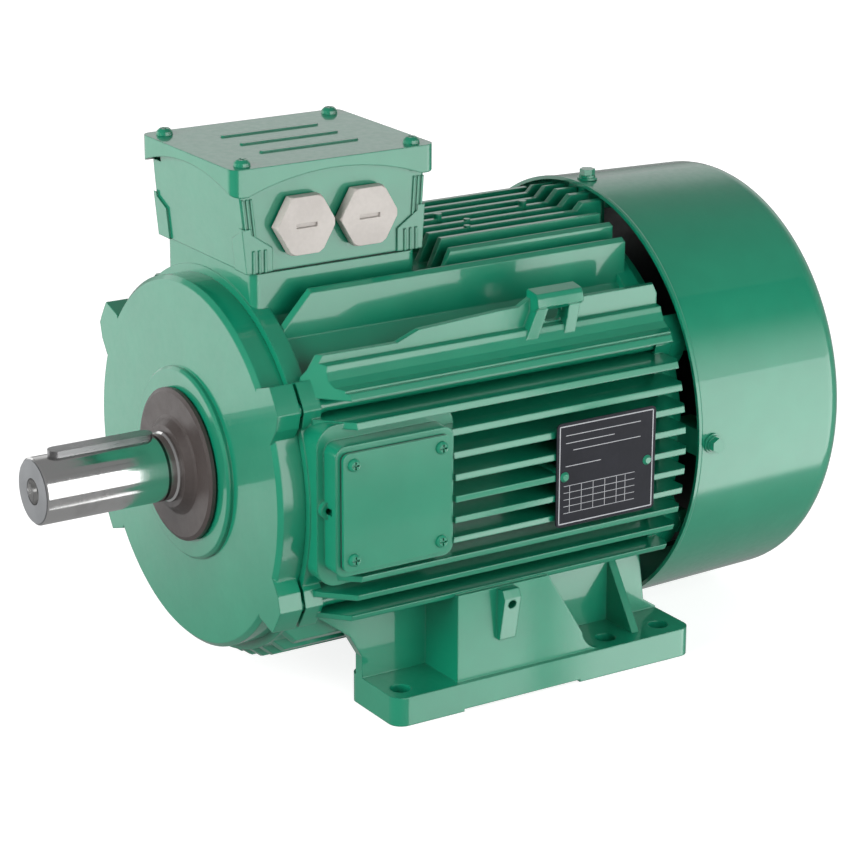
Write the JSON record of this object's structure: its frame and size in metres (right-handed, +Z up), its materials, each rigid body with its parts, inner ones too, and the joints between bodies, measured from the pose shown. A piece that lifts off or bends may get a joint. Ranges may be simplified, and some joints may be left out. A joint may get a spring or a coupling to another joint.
{
  "type": "electric motor",
  "caption": "Foot-mounted, fan-cooled three-phase cage motor with finned green housing, top terminal box, keyed shaft end and round fan cover.",
  "frame": {"origin": "centre of the short-span foot bolt pattern (216 x 140 mm) on the foot plane", "axes": "+Z up from the feet, -Y out along the shaft end, +X towards the side with the nameplate and cable entries"},
  "size_m": [0.2704, 0.468, 0.3132],
  "materials": {
    "housing_paint": "glossy green enamel over die-cast aluminium",
    "painted_fasteners": "green enamel over zinc-plated steel",
    "ground_steel": "ground and polished shaft steel",
    "key_steel": "drawn steel",
    "seal_rubber": "dark grey-brown rubber",
    "gasket_rubber": "black",
    "lamination_steel": "stacked electrical steel",
    "copper_winding": "varnished copper",
    "cast_aluminium": "as cast",
    "bearing_steel": "ground",
    "plain_steel": "zinc plated",
    "fan_plastic": "moulded",
    "board_plastic": "moulded thermoset",
    "terminal_brass": "machined",
    "plug_plastic": "moulded light grey",
    "nameplate_foil": "dark blue-black printed aluminium"
  },
  "bodies": {
    "stator": {"bearing_cap_screws": "plain_steel", "box_mounting_screws": "plain_steel", "cable_entry_plugs": "plug_plastic", "cable_entry_seals": "gasket_rubber", "drive_end_bearing_outer_race": "bearing_steel", "drive_end_shield": "housing_paint", "fan_cover": "housing_paint", "fan_cover_screws": "painted_fasteners", "fan_cover_washers": "painted_fasteners", "fan_end_bearing_outer_race": "bearing_steel", "fan_end_shield": "housing_paint", "inner_bearing_cap": "cast_aluminium", "lid_screws": "painted_fasteners", "nameplate": "nameplate_foil", "nameplate_rivets": "painted_fasteners", "preload_spring_washer": "plain_steel", "side_cover_gasket": "gasket_rubber", "side_cover_plate": "housing_paint", "side_cover_screws": "painted_fasteners", "stator_core": "lamination_steel", "stator_frame": "housing_paint", "stator_winding": "copper_winding", "terminal_board": "board_plastic", "terminal_box_body": "housing_paint", "terminal_box_gasket": "gasket_rubber", "terminal_box_lid": "housing_paint", "terminal_links": "terminal_brass", "terminal_nuts": "terminal_brass", "terminal_studs": "terminal_brass", "tie_rod_nuts": "painted_fasteners", "tie_rods": "painted_fasteners"},
    "rotor": {"shaft": "ground_steel", "shaft_key": "key_steel", "fan_key": "key_steel", "rotor_core": "lamination_steel", "rotor_cage": "cast_aluminium", "drive_end_bearing_inner_race": "bearing_steel", "fan_end_bearing_inner_race": "bearing_steel", "shaft_circlip": "plain_steel", "shaft_seal_disc": "seal_rubber", "fan_end_seal": "seal_rubber", "fan": "fan_plastic", "fan_circlip": "plain_steel"},
    "drive_end_ball_set": {"drive_end_bearing_balls": "bearing_steel", "drive_end_bearing_cage": "plain_steel"},
    "fan_end_ball_set": {"fan_end_bearing_balls": "bearing_steel", "fan_end_bearing_cage": "plain_steel"}
  },
  "joints": [
    {"name": "rotor_spin", "type": "hinge", "parent": "stator", "child": "rotor", "pos_m": [0, 0, 0.132], "axis": [0, 1, 0], "continuous": true},
    {"name": "drive_end_ball_set_spin", "type": "hinge", "parent": "stator", "child": "drive_end_ball_set", "pos_m": [0, 0, 0.132], "axis": [0, 1, 0], "continuous": true},
    {"name": "fan_end_ball_set_spin", "type": "hinge", "parent": "stator", "child": "fan_end_ball_set", "pos_m": [0, 0, 0.132], "axis": [0, 1, 0], "continuous": true}
  ],
  "couplings": [
    {"joint": "drive_end_ball_set_spin", "follows": "rotor_spin", "ratio": 0.384},
    {"joint": "fan_end_ball_set_spin", "follows": "rotor_spin", "ratio": 0.4008}
  ]
}
